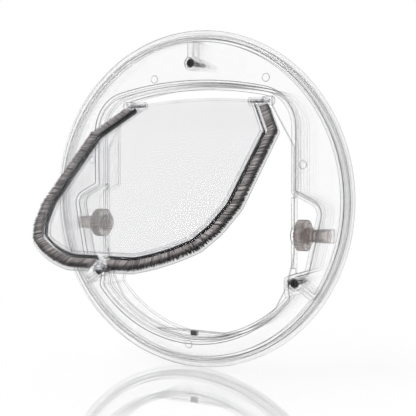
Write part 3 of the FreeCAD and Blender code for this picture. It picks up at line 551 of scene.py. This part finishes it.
def strandShape():                                # one bristle: three sides, one joint, a point
    deselectAll()
    bpy.ops.mesh.primitive_circle_add(vertices=3, radius=1.0, location=(0, 0, 0))
    strand = bpy.context.active_object
    bpy.ops.object.mode_set(mode="EDIT")
    bpy.ops.mesh.select_all(action="SELECT")
    for scale in (0.85, 0.3):
        bpy.ops.mesh.extrude_region_move(TRANSFORM_OT_translate={"value": (0, 0, 0.5)})
        bpy.ops.transform.resize(value=(scale, scale, 1.0))
    bpy.ops.mesh.merge(type="CENTER")
    bpy.ops.mesh.select_all(action="SELECT")
    bpy.ops.mesh.normals_make_consistent(inside=False)
    bpy.ops.object.mode_set(mode="OBJECT")
    vertices = [tuple(vertex.co) for vertex in strand.data.vertices]
    faces = [tuple(face.vertices) for face in strand.data.polygons]
    bpy.data.objects.remove(strand)
    return vertices, faces


def across(limits, share):                        # share runs from -1 to 1
    return limits[0] + (limits[1] - limits[0]) * (share + 1) / 2


def buildPile(name, side, line, shape):
    chance = random.Random(bristles["seed"] + side)
    rootStart = line.find(bristles["rootInset"], lambda point: point.y < edge["topZ"])
    rootEnd = line.find(bristles["rootInset"], lambda point: point.x < edge["gapRoot"])
    tipStart = line.find(bristles["tipInset"], lambda point: point.y < edge["topZ"])
    tipEnd = line.find(bristles["tipInset"], lambda point: point.x < edge["gapTip"])
    tufts = {}
    vertices, faces, shades = [], [], []
    for number in range(bristles["count"]):
        root = rootStart + (rootEnd - rootStart) * chance.random()
        fromTop = max(0.0, 1 - (root - rootStart) / bristles["endRun"])
        fromGap = max(0.0, 1 - (rootEnd - root) / bristles["endRun"])
        tip = root + (tipStart - rootStart) * fromTop - (rootEnd - tipEnd) * fromGap
        depth = chance.uniform(-1, 1)
        cell = (int(root / bristles["tuft"]), int((depth + 1) * bristles["rows"]))
        if cell not in tufts:
            tufts[cell] = (chance.random(), chance.random(), chance.gauss(0, 1), chance.random())
        spot, level, slant, tone = tufts[cell]
        gather = bristles["gather"] * (0.5 + 0.5 * chance.random())
        tuftAt = (cell[0] + 0.2 + 0.6 * spot) * bristles["tuft"]
        lean = bristles["lean"]
        tip += (tuftAt - root) * gather + slant * lean + chance.gauss(0, 0.3) * lean
        tuftDepth = (cell[1] + 0.5) / bristles["rows"] - 1
        tipDepth = across(bristles["tipDepth"], depth + (tuftDepth - depth) * gather * 0.6)
        short = 0.4 * level + 0.6 * chance.random() ** 2
        inset = bristles["tipInset"] + bristles["uneven"][side] * short
        base = line.at(root, bristles["rootInset"])
        slack = bristles["endSlack"]
        end = line.at(max(tipStart - slack, min(tipEnd + slack, tip)), inset)
        start = Vector((base.x, base.y, across(bristles["rootDepth"], depth)))
        finish = Vector((end.x, end.y, tipDepth))
        along = finish - start
        sideways = Vector((-along.y, along.x, 0.0)).normalized()
        bend = sideways * (chance.gauss(0, 0.5) + slant * 0.4) * bristles["bend"]
        out = Vector((0.0, 0.0, 1.0))
        turn = chance.random() * bristles["spin"]
        first = len(vertices)
        light = bristles["toneTuft"] * tone + bristles["toneOwn"] * chance.random() - bristles["toneLess"]
        light = min(1.0, max(0.0, light))
        for u, v, w in shape[0]:
            u, v = u * math.cos(turn) - v * math.sin(turn), u * math.sin(turn) + v * math.cos(turn)
            middle = start + along * w + bend * (4 * w * (1 - w))
            spot = middle + (sideways * u + out * v) * bristles["radius"]
            vertices.append(onFlap(side, spot.x, spot.y, spot.z))
            shades.append((light, w, 0.0, 1.0))
        for face in shape[1]:
            face = tuple(first + index for index in face)
            faces.append(face[::-1] if side < 0 else face)
    pile = newMesh(name, vertices, faces)
    colours = pile.data.color_attributes.new("strand", "FLOAT_COLOR", "POINT")
    for item, shade in zip(colours.data, shades):
        item.color = shade
    return pile


strips = {                                        # depths and insets of the flat strips
    "film": {"depths": (0.0025, 0.0031), "insets": (0.0005, 0.0083), "gap": "gapTip"},
    "backing": {"depths": (-0.0014, 0.0022), "insets": (0.0108, 0.0117), "gap": "gapRoot"},
    "step": 0.002,
}


def buildStrip(kind, name, side, line):
    shape = strips[kind]
    ends = []
    for inset in shape["insets"]:
        ends.append((line.find(inset, lambda point: point.y < edge["topZ"]),
                     line.find(inset, lambda point: point.x < edge[shape["gap"]])))
    count = int((ends[0][1] - ends[0][0]) / strips["step"])
    vertices, faces = [], []
    for index in range(count + 1):
        ring = []
        for (start, end), inset in zip(ends, shape["insets"]):
            point = line.at(start + (end - start) * index / count, inset)
            ring.append([onFlap(side, point.x, point.y, depth) for depth in shape["depths"]])
        vertices += [ring[0][0], ring[0][1], ring[1][1], ring[1][0]]
    for index in range(count):
        first = 4 * index
        for corner in range(4):
            after = (corner + 1) % 4
            faces.append((first + corner, first + after, first + 4 + after, first + 4 + corner))
    faces += [(3, 2, 1, 0), (4 * count, 4 * count + 1, 4 * count + 2, 4 * count + 3)]
    strip = newMesh(name, vertices, faces)
    deselectAll()
    strip.select_set(True)
    bpy.context.view_layer.objects.active = strip
    bpy.ops.object.mode_set(mode="EDIT")
    bpy.ops.mesh.select_all(action="SELECT")
    bpy.ops.mesh.normals_make_consistent(inside=False)
    bpy.ops.object.mode_set(mode="OBJECT")
    return strip


edgeLine = EdgeLine()
strand = strandShape()
bristleMaterial = pileMaterial()
filmMaterial = clearMaterial("clearFilm", softClear)
for side, name in ((-1, "left"), (1, "right")):
    pile = buildPile("bristles_" + name, side, edgeLine, strand)
    finishPiece(pile, "flap", bristleMaterial, "brush_pile_" + name)
    strip = buildStrip("film", "film_" + name, side, edgeLine)
    finishPiece(strip, "flap", filmMaterial, "brush_pile_" + name)
    strip = buildStrip("backing", "backing_" + name, side, edgeLine)
    finishPiece(strip, "flap", looks["brush_backing"], "brush_backing_" + name)
    print("bristles", name, "placed")
